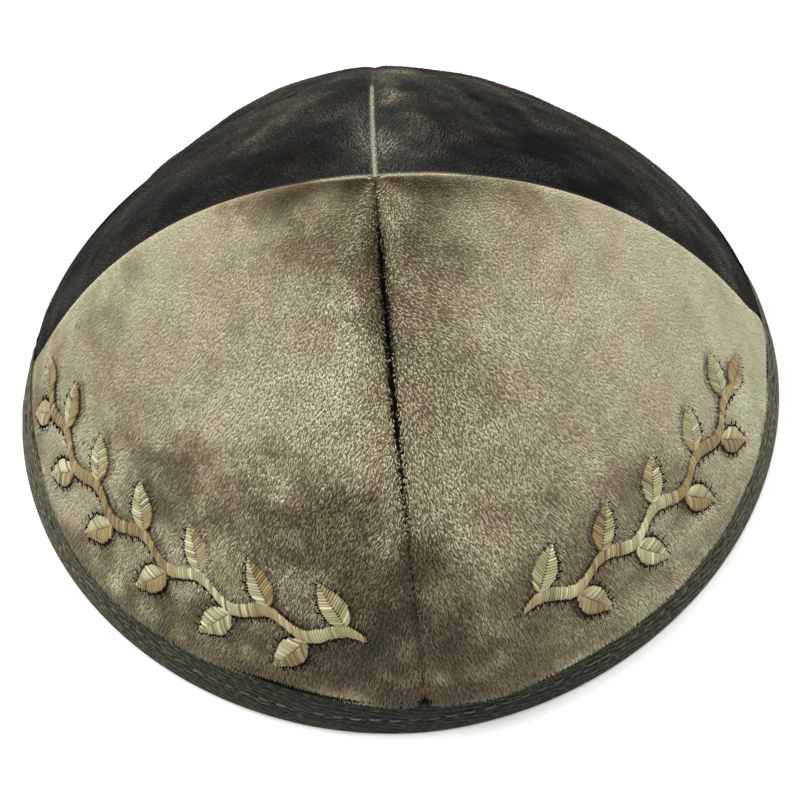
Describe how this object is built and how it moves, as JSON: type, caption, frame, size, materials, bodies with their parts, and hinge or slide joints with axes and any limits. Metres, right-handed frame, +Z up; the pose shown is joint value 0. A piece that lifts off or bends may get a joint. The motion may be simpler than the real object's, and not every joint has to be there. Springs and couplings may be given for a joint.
{
  "type": "kippah skullcap",
  "caption": "Shallow domed skullcap of velvet gores sewn from apex to rim, with a twill binding round the open rim and a leafy embroidered border over the front.",
  "frame": {"origin": "middle of the rim, on the surface that the cap rests on", "axes": "+Z up through the crown; the front, with the embroidered borders, faces -Y; +X is to the right as seen from the front"},
  "size_m": [0.1698, 0.172, 0.063],
  "materials": {
    "velvet_dark": "crushed velvet seen against its nap, near black with a violet cast",
    "velvet_light": "plush olive taupe velvet seen along its nap, mottled where the pile is brushed",
    "twill_binding": "folded twill tape, dark olive, with running stitches near its upper edge",
    "embroidery_thread": "satin stitch in cream and golden tan rayon"
  },
  "bodies": {
    "root": {"panel_back_right": "velvet_dark", "panel_back_left": "velvet_dark", "panel_front_left": "velvet_light", "panel_front_right": "velvet_light", "rim_binding": "twill_binding", "embroidery_left": "embroidery_thread", "embroidery_right": "embroidery_thread"}
  },
  "joints": []
}
